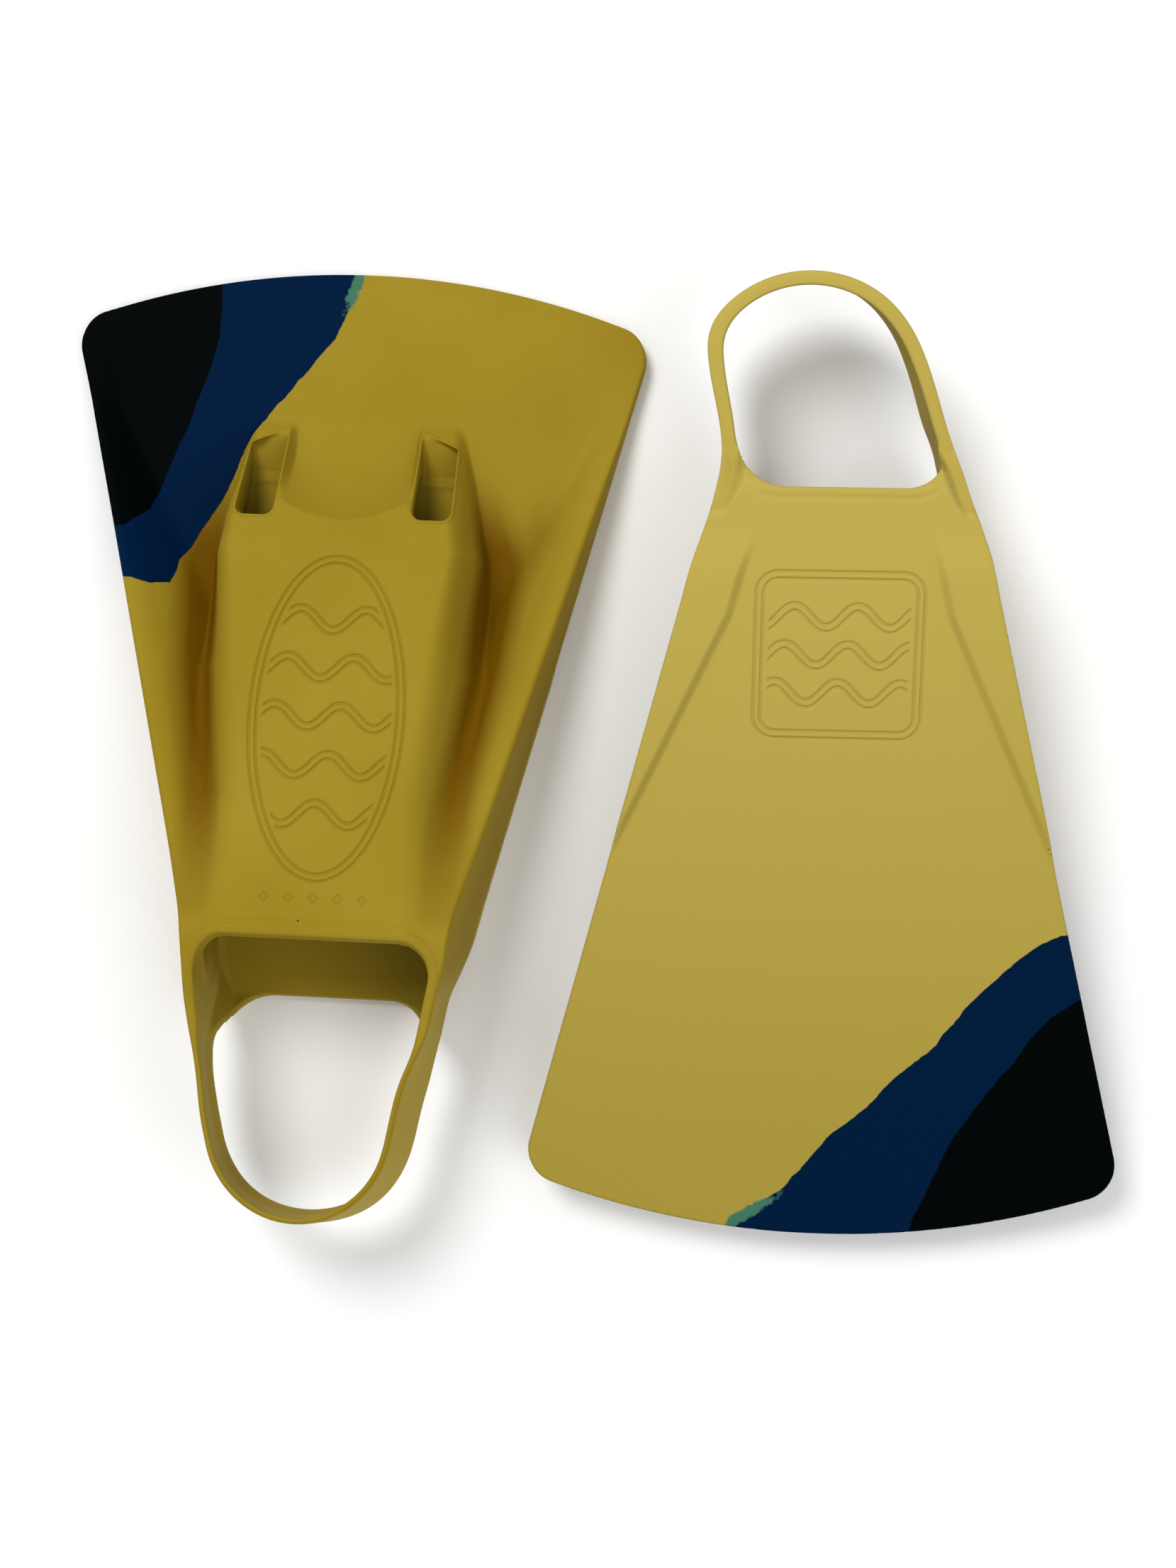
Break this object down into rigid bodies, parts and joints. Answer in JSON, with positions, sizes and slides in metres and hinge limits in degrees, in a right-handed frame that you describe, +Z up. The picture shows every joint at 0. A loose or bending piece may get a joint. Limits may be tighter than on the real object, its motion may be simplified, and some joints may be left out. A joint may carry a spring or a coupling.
{
  "type": "swim fins",
  "caption": "Short moulded-rubber bodyboard swim fins: wedge blade with side rails, open-heel foot pocket with drain holes, integral heel strap.",
  "frame": {"origin": "middle of the pair's footprint, on the surface that the fins lie on", "axes": "+X from the left fin to the right fin, +Y from the left fin's heel strap to its blade, +Z up"},
  "size_m": [0.422, 0.3906, 0.0736],
  "materials": {
    "gold_rubber": "satin moulded natural rubber, mustard gold",
    "blue_rubber": "satin moulded natural rubber, petrol blue",
    "black_rubber": "satin moulded natural rubber, near black"
  },
  "bodies": {
    "left_foot": {"left_sole": "gold_rubber", "left_foot_pocket": "gold_rubber", "left_inner_rail": "gold_rubber", "left_outer_rail": "gold_rubber", "left_outer_band_blue": "blue_rubber", "left_outer_corner_black": "black_rubber"},
    "left_blade": {"left_blade_gold": "gold_rubber", "left_blade_blue": "blue_rubber", "left_blade_black": "black_rubber"},
    "left_strap": {"left_heel_strap": "gold_rubber"},
    "right_foot": {"right_sole": "gold_rubber", "right_foot_pocket": "gold_rubber", "right_inner_rail": "gold_rubber", "right_outer_rail": "gold_rubber", "right_outer_band_blue": "blue_rubber", "right_outer_corner_black": "black_rubber"},
    "right_blade": {"right_blade_gold": "gold_rubber", "right_blade_blue": "blue_rubber", "right_blade_black": "black_rubber"},
    "right_strap": {"right_heel_strap": "gold_rubber"}
  },
  "joints": [
    {"name": "left_strap_bend", "type": "hinge", "parent": "left_foot", "child": "left_strap", "pos_m": [-0.10424, -0.09071, 0.042], "axis": [-0.999, 0.0436, 0], "range_deg": [-40, 40], "stiffness_Nm_per_rad": 2},
    {"name": "left_blade_bend", "type": "hinge", "parent": "left_foot", "child": "left_blade", "pos_m": [-0.09412, 0.14107, 0.005], "axis": [0.999, -0.0436, 0], "range_deg": [-18, 18], "stiffness_Nm_per_rad": 15},
    {"name": "right_strap_bend", "type": "hinge", "parent": "right_foot", "child": "right_strap", "pos_m": [0.09889, 0.09304, 0.03063], "axis": [-0.9997, 0.0227, 0], "range_deg": [-40, 40], "stiffness_Nm_per_rad": 2},
    {"name": "right_blade_bend", "type": "hinge", "parent": "right_foot", "child": "right_blade", "pos_m": [0.09356, -0.14178, 0.02528], "axis": [0.9997, -0.0227, 0], "range_deg": [-18, 18], "stiffness_Nm_per_rad": 15},
    {"name": "right_fin_lift", "type": "slide", "parent": "left_foot", "child": "right_foot", "axis": [0, 0, 1], "range_m": [0, 0.25]}
  ]
}
